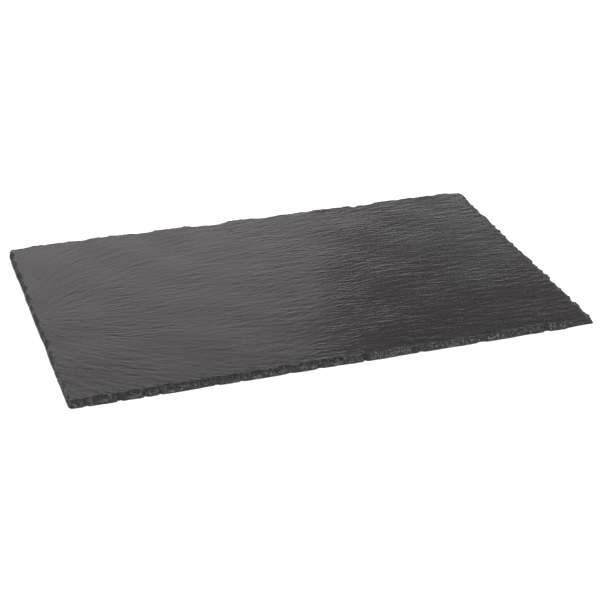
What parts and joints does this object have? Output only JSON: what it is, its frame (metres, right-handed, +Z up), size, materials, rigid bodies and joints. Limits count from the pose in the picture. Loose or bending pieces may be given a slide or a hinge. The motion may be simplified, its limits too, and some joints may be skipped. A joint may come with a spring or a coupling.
{
  "type": "slate slab",
  "caption": "Thin rectangular slab of natural slate with a riven, rippled top, chipped hand-dressed edges and a flat underside, for serving or display.",
  "frame": {"origin": "under the middle of the slab's bounding box, on the surface that it rests on", "axes": "+X along the long side, from the thicker end to the thinner end; +Y across, from the front side to the back side; +Z up, out of the riven top"},
  "size_m": [0.53, 0.325, 0.0083],
  "materials": {
    "slate": "natural riven slate, dark grey, dull satin"
  },
  "bodies": {
    "root": {"slab": "slate"}
  },
  "joints": []
}
